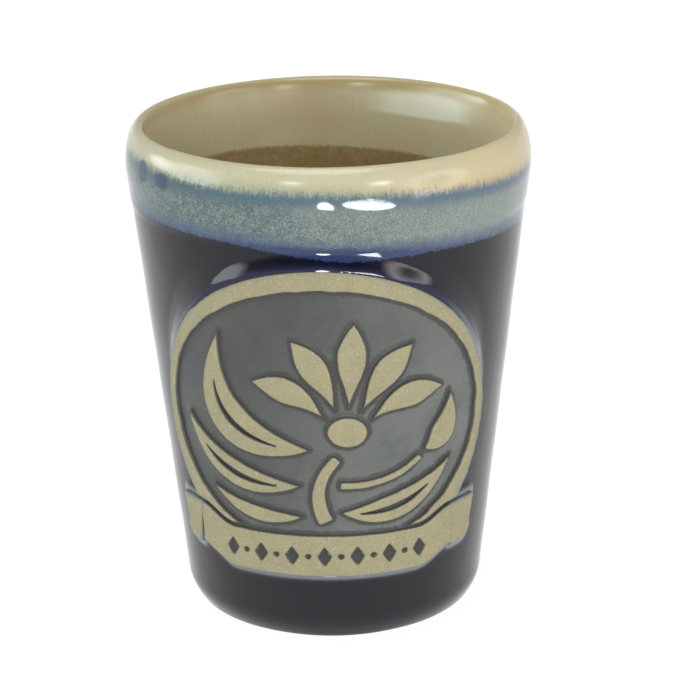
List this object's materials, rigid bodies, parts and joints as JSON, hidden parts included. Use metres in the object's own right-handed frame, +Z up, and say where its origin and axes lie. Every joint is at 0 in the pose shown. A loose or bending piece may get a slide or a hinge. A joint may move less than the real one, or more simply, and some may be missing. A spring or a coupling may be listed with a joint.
{
  "type": "shot glass",
  "caption": "Tapering stoneware shot glass with glossy dipped glazes and a pressed clay medallion of a flower spray over a ribbon on its front.",
  "frame": {"origin": "on the cup's axis, at the table plane it stands on", "axes": "+Z up the cup's axis, -Y out of the medallion's centre towards the viewer, +X to the viewer's right"},
  "size_m": [0.0506, 0.0508, 0.0635],
  "materials": {
    "foot_clay": "matte",
    "bare_clay": "matte",
    "cobalt_glaze": "gloss",
    "rim_glaze": "gloss",
    "liner_glaze": "gloss",
    "grey_glaze": "satin"
  },
  "bodies": {
    "root": {"bloom_calyx": "bare_clay", "bloom_petal_1": "bare_clay", "bloom_petal_2": "bare_clay", "bloom_petal_3": "bare_clay", "bloom_petal_4": "bare_clay", "bloom_petal_5": "bare_clay", "bud": "bare_clay", "bud_stem": "bare_clay", "cobalt_glaze_coat": "cobalt_glaze", "cup_body": "foot_clay", "leaf_lower_left": "bare_clay", "leaf_lower_right": "bare_clay", "leaf_middle_left": "bare_clay", "leaf_upper_left": "bare_clay", "liner_glaze_coat": "liner_glaze", "medallion_ground_glaze": "grey_glaze", "medallion_plaque": "bare_clay", "medallion_ring": "bare_clay", "ribbon_banner": "bare_clay", "ribbon_tail_left": "bare_clay", "ribbon_tail_right": "bare_clay", "rim_glaze_coat": "rim_glaze", "spray_stem": "bare_clay"}
  },
  "joints": []
}
